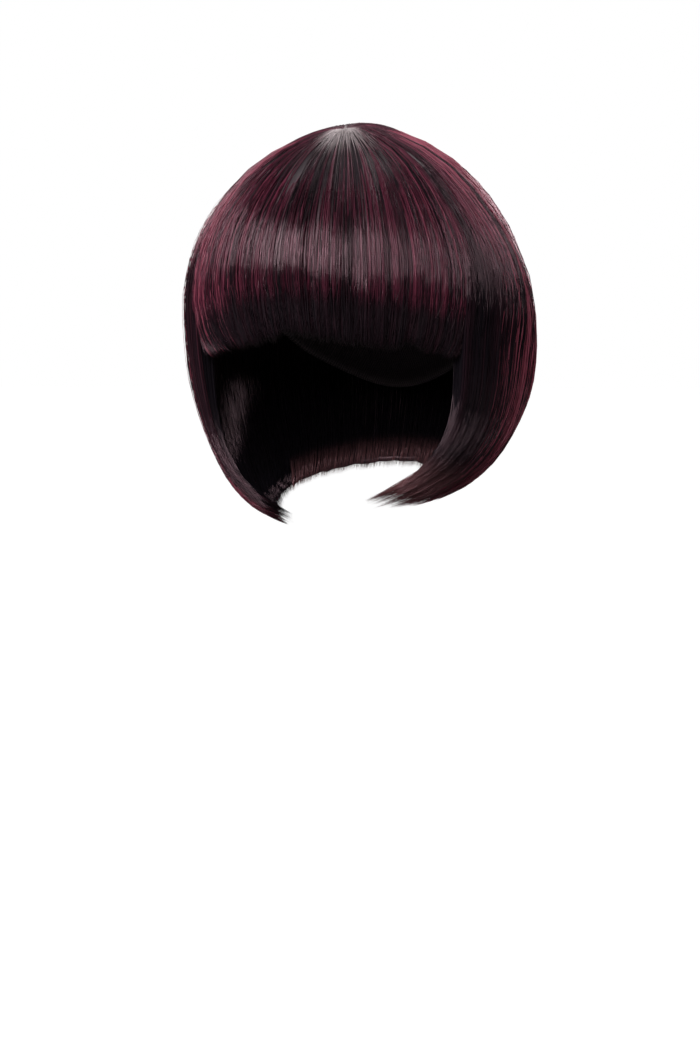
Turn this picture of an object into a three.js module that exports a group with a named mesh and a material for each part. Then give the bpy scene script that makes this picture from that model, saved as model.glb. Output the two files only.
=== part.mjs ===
// Full cap wig: a short rounded bob with a full fringe, worn on a stretch cap.
// Millimetres, +Z up. The face looks along -Y and the wearer's left is +X.
// The origin is the inside of the cap's top, where it sits on the head.
// An azimuth is in degrees from the front, positive towards the wearer's left.
import * as THREE from 'three';

const { degToRad, lerp, smoothstep } = THREE.MathUtils;

// Clearances between neighbouring pieces, and of the hair over the cap's facets
const GAP = 0.4;
const SEAT_GAP = 0.8;

// Cap: the upper part of an ellipsoid, with a thicker band along its edge
const CAP_HALF_WIDTH = 76;
const CAP_HALF_DEPTH = 93;
const CAP_HALF_HEIGHT = 100;
const CAP_WALL = 1.2;
const CAP_BAND_WALL = 2.6;
const CAP_BAND_HEIGHT = 9;
const CAP_COLUMNS = 48;
const CAP_ROWS = 8;

// Height of the cap's edge: over the forehead, the tabs before the ears, the ears and the nape
const CAP_EDGE = rows('azimuth height', [
  [0, -58],
  [35, -66],
  [62, -112],
  [95, -94],
  [135, -128],
  [180, -148],
]);

// Whorl: where the hair starts, a little in front of the top, beside a low mound of lifted roots
const WHORL_X = -3;
const WHORL_Y = -20;
const WHORL_RADIUS = 12;
const WHORL_DIP = 1.5;
const WHORL_COLUMNS = 24;
const CROWN_HEIGHT = 12.5;
const MOUND_X = 6;
const MOUND_Y = -5;
const MOUND_RISE = 2;
const MOUND_SPREAD = 18;

// Azimuths where the fringe meets the sides, and the sides meet the back
const FRINGE_EDGE = 54;
const BACK_EDGE = 128;

// Belly: the widest ring of the hair, seen from above, and how high it lies
const BELLY = rows('azimuth radius height', [
  [0, 107, -84],
  [30, 107, -88],
  [FRINGE_EDGE, 107, -102],
  [75, 109, -112],
  [105, 107, -120],
  [140, 109, -116],
  [180, 112, -110],
]);

// Tips: their distance from the head's axis, their height, and the degrees that they swing forward
const FRINGE_TIPS = rows('azimuth radius height forward', [
  [0, 97, -119, 0],
  [25, 96, -124, 0],
  [42, 95, -127, 1],
  [FRINGE_EDGE, 100, -131, 2],
]);
const SIDE_TIPS = rows('azimuth radius height forward', [
  [FRINGE_EDGE, 87, -214, 34],
  [70, 77, -218, 40],
  [90, 66, -218, 40],
  [108, 60, -214, 30],
  [BACK_EDGE, 62, -207, 14],
]);
const BACK_TIPS = rows('azimuth radius height forward', [
  [BACK_EDGE, 62, -207, 14],
  [150, 68, -203, 6],
  [180, 74, -200, 0],
]);

// The swing starts this far down the fall, below the fringe, and gathers pace by this power
const SWING_START = 0.25;
const SWING_POWER = 3.6;

// The wearer's right side bellies higher, hangs longer and tucks further in and forward
const RIGHT_RISE = 5;
const RIGHT_DROP = 12;
const RIGHT_TUCK = 11;
const RIGHT_FORWARD = 7;

// Wall of hair: its thickness runs towards the head's axis, or above this height towards one point
const SKULL_MIDDLE = -60;
const CROWN_THICKNESS = 18;
const TIP_THICKNESS = 2.5;
const TAPER_POWER = 1.4;

// Locks: columns from valley to valley, the height of a full crest, and how they vary along a section
const LOCK_COLUMNS = 3;
const LOCK_RELIEF = 3;
const LOCK_FADE = 0.55;
const LOCK_UNEVEN = 0.3;
const LOCK_SUNK = 0.25;
const LOCK_SHORT = 0.5;
const VALLEY_RELIEF = -0.5;
const VARIES = { place: 0, relief: 1, length: 2 };
const GOLDEN_ANGLE = 2.39996;
const DOME_ROWS = 9;

// Sections of hair, with the depth of the notches in the hem as a share of the fall
const SECTIONS = rows('name from to tips locks fallRows thickness notch', [
  ['fringe', -FRINGE_EDGE, FRINGE_EDGE, FRINGE_TIPS, 12, 4, 11, 0.12],
  ['side_hair_left', FRINGE_EDGE, BACK_EDGE, SIDE_TIPS, 8, 8, 14, 0.05],
  ['back_hair', BACK_EDGE, 360 - BACK_EDGE, BACK_TIPS, 12, 8, 14, 0.05],
  ['side_hair_right', -BACK_EDGE, -FRINGE_EDGE, SIDE_TIPS, 8, 8, 14, 0.05],
]);

const HAIR = { color: 0x3a1d27, roughness: 0.4, metalness: 0 };
const ROOTS = { color: 0x6f6165, roughness: 0.6, metalness: 0 };
const CAP_NET = { color: 0x1a1517, roughness: 0.85, metalness: 0 };

// Rows of a table as objects with the named columns
function rows(names, values) {
  const keys = names.split(' ');
  return values.map((row) => Object.fromEntries(keys.map((key, i) => [key, row[i]])));
}

// Smooth curve through a table: a cubic with the mean slope of the two neighbouring spans at each row,
// level where the table starts at the front or ends at the back
function readTable(table, azimuth) {
  const last = table.length - 1;
  let i = 0;
  while (i < last - 1 && azimuth > table[i + 1].azimuth) {
    i += 1;
  }
  const width = table[i + 1].azimuth - table[i].azimuth;
  const t = (azimuth - table[i].azimuth) / width;
  const result = {};
  for (const key of Object.keys(table[0])) {
    const slope = (j) => (table[j + 1][key] - table[j][key]) / (table[j + 1].azimuth - table[j].azimuth);
    const tangent = (j) => {
      if (j === 0) {
        return table[0].azimuth === 0 ? 0 : slope(0);
      }
      if (j === last) {
        return table[last].azimuth === 180 ? 0 : slope(last - 1);
      }
      return (slope(j - 1) + slope(j)) / 2;
    };
    const start = table[i][key];
    const end = table[i + 1][key];
    result[key] = start + (end - start) * t * t * (3 - 2 * t)
      + width * t * (1 - t) * (tangent(i) * (1 - t) - tangent(i + 1) * t);
  }
  return result;
}

// Azimuth between -180 and 180, and how much of the right side's habit it has
function wrapped(azimuth) {
  return azimuth > 180 ? azimuth - 360 : azimuth;
}

function rightShare(azimuth) {
  return azimuth < 0 ? Math.sin(degToRad(azimuth)) ** 2 : 0;
}

// Point at a distance from the head's axis
function around(azimuth, radius, height) {
  const angle = degToRad(azimuth);
  return new THREE.Vector3(radius * Math.sin(angle), -radius * Math.cos(angle), height);
}

function bellyAt(azimuth) {
  const row = readTable(BELLY, Math.abs(azimuth));
  return { radius: row.radius, height: row.height + RIGHT_RISE * rightShare(azimuth) };
}

// Height of the dome of hair: a quarter of an ellipse from the belly to the crown, and the mound on it
function domeHeight(x, y) {
  const belly = bellyAt(Math.atan2(x, -y) / degToRad(1));
  const reach = Math.min(Math.hypot(x, y) / belly.radius, 1);
  const spread = ((x - MOUND_X) ** 2 + (y - MOUND_Y) ** 2) / (2 * MOUND_SPREAD ** 2);
  const mound = MOUND_RISE * Math.exp(-spread);
  return belly.height + (CROWN_HEIGHT - belly.height) * Math.sqrt(1 - reach * reach) + mound;
}

// Point of the dome: the plan line from the whorl to the belly, lifted on to the dome. share runs 0 to 1.
function domePoint(azimuth, share) {
  const belly = bellyAt(azimuth);
  const foot = around(azimuth, belly.radius, 0);
  const whorl = new THREE.Vector3(WHORL_X, WHORL_Y, 0);
  const start = WHORL_RADIUS / foot.distanceTo(whorl);
  const point = whorl.lerp(foot, lerp(start, 1, Math.sin(share * Math.PI / 2)));
  point.z = domeHeight(point.x, point.y);
  return point;
}

// Point of the fall: an arc of an ellipse from the belly in to the tip, swinging forward. share runs 0 to 1.
function fallPoint(azimuth, share, tips) {
  const belly = bellyAt(azimuth);
  const side = Math.abs(azimuth);
  const right = rightShare(azimuth);
  const lower = tips === FRINGE_TIPS ? 0 : right;
  const tip = readTable(tips, side);
  const tipRadius = tip.radius - RIGHT_TUCK * lower;
  const tipHeight = tip.height - RIGHT_DROP * lower;
  const arc = Math.acos(tipRadius / belly.radius);
  const drop = (belly.height - tipHeight) / Math.sin(arc);
  const late = Math.max((share - SWING_START) / (1 - SWING_START), 0) ** SWING_POWER;
  const turned = side - (tip.forward + RIGHT_FORWARD * right) * late;
  const radius = belly.radius * Math.cos(arc * share);
  return around(turned * (azimuth < 0 ? -1 : 1), radius, belly.height - drop * Math.sin(arc * share));
}

// Point of the smooth outer form. path runs 0 at the whorl, 1 at the belly, 2 at the tip.
function formPoint(azimuth, path, tips) {
  return path <= 1 ? domePoint(azimuth, path) : fallPoint(azimuth, path - 1, tips);
}

// Direction of a wall's thickness
function inward(point) {
  const centre = new THREE.Vector3(0, 0, Math.min(point.z, SKULL_MIDDLE));
  return centre.sub(point).normalize();
}

// Room between a point and the cap, along its thickness: a line cut with the cap's outer ellipsoid
function roomOverCap(point, direction) {
  const half = new THREE.Vector3(CAP_HALF_WIDTH, CAP_HALF_DEPTH, CAP_HALF_HEIGHT).addScalar(CAP_WALL);
  const centre = new THREE.Vector3(0, 0, -CAP_HALF_HEIGHT);
  const from = point.clone().sub(centre).divide(half);
  const along = direction.clone().divide(half);
  const a = along.lengthSq();
  const b = from.dot(along);
  const root = b * b - a * (from.lengthSq() - 1);
  return root < 0 ? Infinity : (-b - Math.sqrt(root)) / a - SEAT_GAP;
}

// Thickness of the hair, full at the crown and thin at the tips
function hairThickness(path, thickness) {
  return path <= 1
    ? lerp(CROWN_THICKNESS, thickness, path)
    : lerp(thickness, TIP_THICKNESS, (path - 1) ** TAPER_POWER);
}

function innerPoint(point, wanted) {
  const direction = inward(point);
  const depth = Math.min(wanted, roomOverCap(point, direction));
  return point.clone().addScaledVector(direction, depth);
}

// Closed wall between two grids of points with the same rows and columns, which run towards the wearer's left
function gridWall(outer, inner) {
  const rowCount = outer.length;
  const columnCount = outer[0].length;
  const positions = [...outer.flat(), ...inner.flat()].flatMap((point) => point.toArray());
  const index = [];
  const quad = (a, b, c, d) => index.push(a, b, c, a, c, d);
  const o = (r, c) => r * columnCount + c;
  const i = (r, c) => (rowCount + r) * columnCount + c;
  const bottom = rowCount - 1;
  const end = columnCount - 1;
  for (let r = 0; r < bottom; r += 1) {
    for (let c = 0; c < end; c += 1) {
      quad(o(r, c), o(r + 1, c), o(r + 1, c + 1), o(r, c + 1));
      quad(i(r, c), i(r, c + 1), i(r + 1, c + 1), i(r + 1, c));
    }
    quad(o(r + 1, 0), o(r, 0), i(r, 0), i(r + 1, 0));
    quad(o(r, end), o(r + 1, end), i(r + 1, end), i(r, end));
  }
  for (let c = 0; c < end; c += 1) {
    quad(o(0, c), o(0, c + 1), i(0, c + 1), i(0, c));
    quad(o(bottom, c + 1), o(bottom, c), i(bottom, c), i(bottom, c + 1));
  }
  return indexedGeometry(positions, index);
}

// Closed solid through rings of equal count, from a pole at the top to a pole below
function ringSolid(top, rings, below) {
  const count = rings[0].length;
  const positions = [top, ...rings.flat(), below].flatMap((point) => point.toArray());
  const index = [];
  const at = (r, c) => 1 + r * count + (c % count);
  const last = rings.length - 1;
  const pole = 1 + rings.length * count;
  for (let c = 0; c < count; c += 1) {
    index.push(0, at(0, c), at(0, c + 1));
    index.push(pole, at(last, c + 1), at(last, c));
    for (let r = 0; r < last; r += 1) {
      index.push(at(r, c), at(r + 1, c), at(r + 1, c + 1));
      index.push(at(r, c), at(r + 1, c + 1), at(r, c + 1));
    }
  }
  return indexedGeometry(positions, index);
}

function indexedGeometry(positions, index) {
  const geometry = new THREE.BufferGeometry();
  geometry.setAttribute('position', new THREE.Float32BufferAttribute(positions, 3));
  geometry.setIndex(index);
  geometry.computeVertexNormals();
  return geometry;
}

function namedMesh(name, geometry, finish) {
  const mesh = new THREE.Mesh(geometry, new THREE.MeshStandardMaterial(finish));
  mesh.name = name;
  return mesh;
}

// Cap: rings from the top to the edge outside, and back up inside, where the band is thicker
function makeCap() {
  const capPoint = (azimuth, level, inset) => {
    const edge = readTable(CAP_EDGE, Math.abs(wrapped(azimuth))).height;
    const tilt = Math.acos(1 + edge / CAP_HALF_HEIGHT) * level;
    const flat = around(azimuth, Math.sin(tilt), Math.cos(tilt));
    const half = new THREE.Vector3(CAP_HALF_WIDTH - inset, CAP_HALF_DEPTH - inset, CAP_HALF_HEIGHT - inset);
    return flat.multiply(half).add(new THREE.Vector3(0, 0, -CAP_HALF_HEIGHT));
  };
  const ring = (level, inset) => Array.from({ length: CAP_COLUMNS },
    (_, c) => capPoint(360 * c / CAP_COLUMNS, level, inset));
  const bandLevel = 1 - CAP_BAND_HEIGHT / (CAP_HALF_HEIGHT * Math.PI / 2);
  const levels = Array.from({ length: CAP_ROWS }, (_, r) => bandLevel * (r + 1) / CAP_ROWS);
  const outside = [...levels, 1].map((level) => ring(level, -CAP_WALL));
  const band = [1, bandLevel].map((level) => ring(level, CAP_BAND_WALL - CAP_WALL));
  const inside = levels.slice(0, -1).reverse().map((level) => ring(level, 0));
  const top = new THREE.Vector3(0, 0, CAP_WALL);
  return namedMesh('cap', ringSolid(top, [...outside, ...band, ...inside], new THREE.Vector3()), CAP_NET);
}

// Crown whorl: a thick disc that fills the ring where the hair starts, dipping at its middle
function makeWhorl() {
  const radii = [WHORL_RADIUS / 2, WHORL_RADIUS - GAP];
  const surface = (radius, angle) => {
    const point = around(angle, radius, 0).add(new THREE.Vector3(WHORL_X, WHORL_Y, 0));
    const dip = WHORL_DIP * (1 - radius / WHORL_RADIUS);
    point.z = domeHeight(point.x, point.y) - dip;
    return point;
  };
  const ring = (radius) => Array.from({ length: WHORL_COLUMNS },
    (_, c) => surface(radius, 360 * c / WHORL_COLUMNS));
  const sunk = (point) => innerPoint(point, CROWN_THICKNESS);
  const upper = radii.map(ring);
  const lower = upper.toReversed().map((points) => points.map(sunk));
  const middle = surface(0, 0);
  return namedMesh('crown_whorl', ringSolid(middle, [...upper, ...lower], sunk(middle)), ROOTS);
}

// Varies from 0 to 1 from lock to lock, with no repeat
function variation(lock, phase) {
  return (1 + Math.sin(lock * GOLDEN_ANGLE + phase)) / 2;
}

// Column of a section: where it lies, how far it stands out and how much shorter it hangs.
// The first column of a lock is the valley between it and the one before.
function lockColumn(column, locks) {
  const lock = Math.floor(column / LOCK_COLUMNS);
  const phase = column % LOCK_COLUMNS / LOCK_COLUMNS;
  const edge = (j) => (j % locks ? j + LOCK_UNEVEN * (2 * variation(j, VARIES.place) - 1) : j) / locks;
  if (phase === 0) {
    return { share: edge(lock), relief: VALLEY_RELIEF, short: 1 };
  }
  return {
    share: lerp(edge(lock), edge(lock + 1), phase),
    relief: variation(lock, VARIES.relief) - LOCK_SUNK,
    short: LOCK_SHORT * variation(lock, VARIES.length),
  };
}

// One section of hair: locks side by side in one wall, each with a crest, its own length and a blunt tip
function makeSection({ name, from, to, tips, locks, fallRows, thickness, notch }) {
  const columns = Array.from({ length: locks * LOCK_COLUMNS + 1 }, (_, c) => lockColumn(c, locks));
  const outer = [];
  const inner = [];
  for (let r = 0; r <= DOME_ROWS + fallRows; r += 1) {
    const points = columns.map(({ share, short }) => {
      const length = 1 - notch * short;
      const path = r <= DOME_ROWS ? r / DOME_ROWS : 1 + (r - DOME_ROWS) / fallRows * length;
      return { path, point: sectionPoint(lerp(from, to, share), path, tips, from, to) };
    });
    inner.push(points.map(({ path, point }) => innerPoint(point, hairThickness(path, thickness))));
    outer.push(points.map(({ path, point }, c) => {
      const lift = LOCK_RELIEF * columns[c].relief * smoothstep(path, 0, LOCK_FADE);
      return point.clone().addScaledVector(inward(point), -lift);
    }));
  }
  return namedMesh(name, gridWall(outer, inner), HAIR);
}

// Form point of a section, drawn in by half the gap where it lies on one of the section's edges
function sectionPoint(azimuth, path, tips, from, to) {
  const point = formPoint(wrapped(azimuth), path, tips);
  const inset = { [from]: 1, [to]: -1 }[azimuth];
  if (inset) {
    const inside = formPoint(wrapped(azimuth + inset), path, tips).sub(point);
    point.addScaledVector(inside.normalize(), GAP / 2);
  }
  return point;
}

const wig = new THREE.Group();
wig.add(makeCap(), makeWhorl(), ...SECTIONS.map(makeSection));

export default wig;
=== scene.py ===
"""Looks of a full cap wig: a short rounded bob of burgundy and black-plum hair on a stretch net cap.

Every shape is worked out with numpy in millimetres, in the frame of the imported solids, and put into its
mesh in metres. An azimuth is in degrees from the front, positive towards the wearer's left. A path runs
along a strand of hair: 0 at the edge of the crown's whorl, 1 at the belly, where the hair is widest, and 2
at the tip. A span is a pair of numbers between which something changes smoothly from none to all.
"""

import bpy
import numpy as np
from mathutils import Matrix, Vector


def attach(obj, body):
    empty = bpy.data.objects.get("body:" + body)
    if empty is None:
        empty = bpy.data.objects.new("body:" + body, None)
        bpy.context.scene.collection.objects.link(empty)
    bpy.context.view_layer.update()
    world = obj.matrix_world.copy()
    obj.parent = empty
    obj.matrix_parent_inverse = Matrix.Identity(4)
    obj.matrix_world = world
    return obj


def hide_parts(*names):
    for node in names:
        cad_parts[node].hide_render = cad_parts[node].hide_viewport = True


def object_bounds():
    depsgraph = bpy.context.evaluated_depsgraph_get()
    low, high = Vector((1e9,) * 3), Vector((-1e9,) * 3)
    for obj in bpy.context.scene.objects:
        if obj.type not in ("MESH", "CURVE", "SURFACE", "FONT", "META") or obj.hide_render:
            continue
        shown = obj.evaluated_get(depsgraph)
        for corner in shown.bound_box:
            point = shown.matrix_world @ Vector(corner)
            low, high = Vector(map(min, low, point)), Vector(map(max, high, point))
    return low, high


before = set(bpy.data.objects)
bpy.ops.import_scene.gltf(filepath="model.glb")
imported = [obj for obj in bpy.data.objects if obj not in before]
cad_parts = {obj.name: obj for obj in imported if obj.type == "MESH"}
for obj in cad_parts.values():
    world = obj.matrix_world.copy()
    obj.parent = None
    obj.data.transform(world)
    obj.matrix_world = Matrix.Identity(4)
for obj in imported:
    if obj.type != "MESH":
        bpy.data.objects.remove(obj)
cad_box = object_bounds()

MM = 0.001


def columns(names, rows):
    """Short table as a dictionary of its named columns."""
    return dict(zip(names.split(), np.array(rows, float).T))


# Whorl and crown
WHORL = np.array([-3.0, -20.0])
WHORL_RADIUS = 12.0
WHORL_DIP = 1.5
CROWN_HEIGHT = 12.5
MOUND = np.array([6.0, -5.0])
MOUND_RISE = 2.0
MOUND_SPREAD = 18.0

# Azimuths where the fringe meets the sides, and the sides meet the back
FRINGE_EDGE = 54.0
BACK_EDGE = 128.0

# Form of the hair: its widest ring, and the tips with the degrees that they swing forward
BELLY = columns("azimuth radius height", [
    [0, 107, -84],
    [30, 107, -88],
    [54, 107, -102],
    [75, 109, -112],
    [105, 107, -120],
    [140, 109, -116],
    [180, 112, -110],
])
FRINGE_TIPS = columns("azimuth radius height forward", [
    [0, 97, -119, 0],
    [25, 96, -124, 0],
    [42, 95, -127, 1],
    [FRINGE_EDGE, 100, -131, 2],
])
SIDE_TIPS = columns("azimuth radius height forward", [
    [FRINGE_EDGE, 87, -214, 34],
    [70, 77, -218, 40],
    [90, 66, -218, 40],
    [108, 60, -214, 30],
    [BACK_EDGE, 62, -207, 14],
])
BACK_TIPS = columns("azimuth radius height forward", [
    [BACK_EDGE, 62, -207, 14],
    [150, 68, -203, 6],
    [180, 74, -200, 0],
])
SWING_START = 0.25
SWING_POWER = 3.6

# How the wearer's right side differs
RIGHT_RISE = 5.0
RIGHT_DROP = 12.0
RIGHT_TUCK = 11.0
RIGHT_FORWARD = 7.0

# Wall of hair
FAN_CENTRE = -60.0
CROWN_THICKNESS = 18.0
TIP_THICKNESS = 2.5
TAPER_POWER = 1.4
INNER_GAP = 0.6

# Locks of the wall
LOCK_RELIEF = 3.0
LOCK_FADE = 0.55
LOCK_UNEVEN = 0.3
LOCK_PARTS = 3
LOCK_TROUGH = -0.5
LOCK_CREST = 0.25
RELIEF_PHASE = 1
SHORT_PHASE = 2
RELIEF_SHOWN = 0.4
GOLDEN_ANGLE = 2.39996

# Cap
CAP_HALF = np.array([76.0, 93.0, 100.0])
CAP_WALL = 1.2
CAP_BAND_WALL = 2.6
CAP_BAND_HEIGHT = 9.0
CAP_BAND_SPAN = (0, 0.25)
SEAT_GAP = 0.8
CAP_EDGE = columns("azimuth height", [
    [0, -58],
    [35, -66],
    [62, -112],
    [95, -94],
    [135, -128],
    [180, -148],
])

# How much longer the fringe's strands are than its form, along its uneven hem
FRINGE_HEM = columns("azimuth longer", [
    [-54, 0],
    [-30, 0],
    [-16, -1],
    [-7, -3.5],
    [3, 1.5],
    [15, 2.5],
    [31, 2],
    [36, -2],
    [42, 0.5],
    [54, 0],
])

# Dye round the wig, with painted light: the share of black locks, and how much brighter the wine ones are.
# The wine brightened from -84 to -67 and from 75 to 128 is painted rim light, and the extra black locks
# from 56 to 70 are painted shade.
DYES_AND_PAINTED_LIGHT = columns("azimuth black bright", [
    [-180, 0.30, 0.1],
    [-120, 0.20, 0.2],
    [-84, 0.04, 0.46],
    [-72, 0.05, 0.40],
    [-67, 0.08, 0.32],
    [-63, 0.20, 0.14],
    [-58, 0.28, 0.05],
    [-54, 0.18, 0.12],
    [-45, 0.12, 0.15],
    [-20, 0.18, 0.0],
    [0, 0.16, -0.06],
    [22, 0.16, -0.04],
    [46, 0.14, 0.03],
    [56, 0.34, 0.02],
    [64, 0.42, 0.0],
    [70, 0.34, 0.1],
    [75, 0.18, 0.28],
    [80, 0.12, 0.44],
    [100, 0.08, 0.54],
    [128, 0.15, 0.3],
    [180, 0.30, 0.1],
])


def read_table(table, azimuth):
    """Cubic through a table's rows: y0 + (y1 - y0) t^2 (3 - 2t) + w t (1 - t) (m0 (1 - t) - m1 t).

    t runs 0 to 1 across a span of width w, and each slope m is the mean of the two spans beside its row,
    level where the table starts at the front or ends at the back.
    """
    knots = table["azimuth"]
    i = np.clip(np.searchsorted(knots, azimuth, side="right") - 1, 0, len(knots) - 2)
    width = np.diff(knots)[i]
    t = (azimuth - knots[i]) / width
    result = {}
    for name, y in table.items():
        slope = np.diff(y) / np.diff(knots)
        m = np.concatenate([slope[:1], (slope[1:] + slope[:-1]) / 2, slope[-1:]])
        m[0] *= knots[0] != 0
        m[-1] *= knots[-1] != 180
        result[name] = (y[i] + (y[i + 1] - y[i]) * t * t * (3 - 2 * t)
                        + width * t * (1 - t) * (m[i] * (1 - t) - m[i + 1] * t))
    return result


def smoothstep(x, low, high):
    """0 before low, 1 past high, and t^2 (3 - 2t) between."""
    t = np.clip((x - low) / (high - low), 0, 1)
    return t * t * (3 - 2 * t)


def wrapped(azimuth):
    """Azimuth between -180 and 180."""
    return (azimuth + 180) % 360 - 180


def right_share(azimuth):
    """sin^2 of the azimuth on the wearer's right, 0 on the left."""
    return np.where(azimuth < 0, np.sin(np.radians(azimuth)) ** 2, 0.0)


def around(azimuth, radius, height):
    """Point at a distance from the wig's axis: (r sin a, -r cos a, h)."""
    angle = np.radians(azimuth)
    return np.stack(np.broadcast_arrays(radius * np.sin(angle), -radius * np.cos(angle), height), -1)


def belly_at(azimuth):
    """Radius and height of the hair's widest ring, which rises on the wearer's right."""
    row = read_table(BELLY, np.abs(azimuth))
    return row["radius"], row["height"] + RIGHT_RISE * right_share(azimuth)


def dome_height(x, y):
    """Quarter ellipse from belly to crown, z = zb + (top - zb) sqrt(1 - (r / rb)^2), and the mound."""
    radius, height = belly_at(np.degrees(np.arctan2(x, -y)))
    reach = np.minimum(np.hypot(x, y) / radius, 1)
    mound = MOUND_RISE * np.exp(-((x - MOUND[0]) ** 2 + (y - MOUND[1]) ** 2) / (2 * MOUND_SPREAD ** 2))
    return height + (CROWN_HEIGHT - height) * np.sqrt(1 - reach ** 2) + mound


def form(azimuth, path, tips):
    """Point of the hair's outer form.

    Above the belly the plan goes straight from the whorl to the belly by sin(90 path), lifted on to the
    dome. Below it r = rb cos b and z = zb - h sin b, an arc of an ellipse to the tip, turned forward by a
    power of the path.
    """
    azimuth, path = np.broadcast_arrays(wrapped(azimuth), path)
    radius, height = belly_at(azimuth)
    foot = around(azimuth, radius, 0.0)[..., :2]
    start = WHORL_RADIUS / np.linalg.norm(foot - WHORL, axis=-1)
    share = start + (1 - start) * np.sin(np.clip(path, 0, 1) * np.pi / 2)
    plan = WHORL + (foot - WHORL) * share[..., None]
    dome = np.concatenate([plan, dome_height(plan[..., 0], plan[..., 1])[..., None]], -1)
    side = np.abs(azimuth)
    right = right_share(azimuth)
    lower = 0.0 if tips is FRINGE_TIPS else right
    tip = read_table(tips, side)
    arc = np.arccos((tip["radius"] - RIGHT_TUCK * lower) / radius)
    drop = (height - tip["height"] + RIGHT_DROP * lower) / np.sin(arc)
    fallen = np.maximum(path - 1, 0)
    late = np.maximum((fallen - SWING_START) / (1 - SWING_START), 0) ** SWING_POWER
    turned = (side - (tip["forward"] + RIGHT_FORWARD * right) * late) * np.where(azimuth < 0, -1, 1)
    fall = around(turned, radius * np.cos(arc * fallen), height - drop * np.sin(arc * fallen))
    return np.where((path > 1)[..., None], fall, dome)


def outward(point):
    """Unit direction away from the wig's axis, or above the fan's centre away from that one point on it."""
    centre = np.zeros_like(point)
    centre[..., 2] = np.minimum(point[..., 2], FAN_CENTRE)
    away = point - centre
    return away / np.linalg.norm(away, axis=-1, keepdims=True)


def room_over_cap(point, out):
    """Distance from a point in along its thickness to just above the cap: a line cut with an ellipsoid."""
    half = CAP_HALF + CAP_WALL
    start = (point + [0, 0, CAP_HALF[2]]) / half
    along = -out / half
    a = (along ** 2).sum(-1)
    b = (start * along).sum(-1)
    root = b * b - a * ((start ** 2).sum(-1) - 1)
    return np.where(root < 0, np.inf, (-b - np.sqrt(np.maximum(root, 0))) / a - SEAT_GAP)


def thickness_at(point, out, path, belly_thickness):
    """Thickness of the hair: full at the crown, thinner by a power of the path, and never into the cap."""
    upper = CROWN_THICKNESS + (belly_thickness - CROWN_THICKNESS) * np.clip(path, 0, 1)
    taper = np.clip(path - 1, 0, 1) ** TAPER_POWER
    return np.minimum(upper + (TIP_THICKNESS - belly_thickness) * taper, room_over_cap(point, out))


# Bulge above the belly on each side of the fringe's middle: spans of azimuth, then spans of path
FULLNESS = 2.6
FULL_RIGHT_SHARE = 0.9
FULL_RIGHT_LOSS = 0.5
FULL_LEFT_GAIN = 0.6
FULL_RIGHT_START = (12, -12)
FULL_RIGHT_LESS = (-10, -30)
FULL_RIGHT_STOP = (-78, -58)
FULL_LEFT_START = (22, 38)
FULL_LEFT_MORE = (38, 50)
FULL_LEFT_STOP = (102, 78)
FULL_RISE = (0.5, 0.84)
FULL_RIGHT_FALL = (1.2, 0.88)
FULL_LEFT_FALL = (1.1, 0.86)

# Slimmer hair on the wearer's right: millimetres, spans of azimuth, then spans of path
SLIMMER = 3.0
SLIM_START = (-40, -72)
SLIM_STOP = (-128, -100)
SLIM_RISE = (0.5, 1.2)
SLIM_FALL = (2.0, 1.6)


def fullness(azimuth, path):
    """Bulge of the hair, a product of smooth steps round the wig and along it, less the slimmer right."""
    azimuth = wrapped(azimuth)
    right = smoothstep(azimuth, *FULL_RIGHT_START) * smoothstep(azimuth, *FULL_RIGHT_STOP)
    right = right * (FULL_RIGHT_SHARE - FULL_RIGHT_LOSS * smoothstep(azimuth, *FULL_RIGHT_LESS))
    left = smoothstep(azimuth, *FULL_LEFT_START) * smoothstep(azimuth, *FULL_LEFT_STOP)
    left = left * (1 + FULL_LEFT_GAIN * smoothstep(azimuth, *FULL_LEFT_MORE))
    sides = right * smoothstep(path, *FULL_RIGHT_FALL) + left * smoothstep(path, *FULL_LEFT_FALL)
    slim = smoothstep(azimuth, *SLIM_START) * smoothstep(azimuth, *SLIM_STOP)
    slim = SLIMMER * slim * smoothstep(path, *SLIM_RISE) * smoothstep(path, *SLIM_FALL)
    return FULLNESS * sides * smoothstep(path, *FULL_RISE) - slim


# Share of a side's width that its body stays back from the free front edge
SHELL_INSET = 0.012


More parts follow.
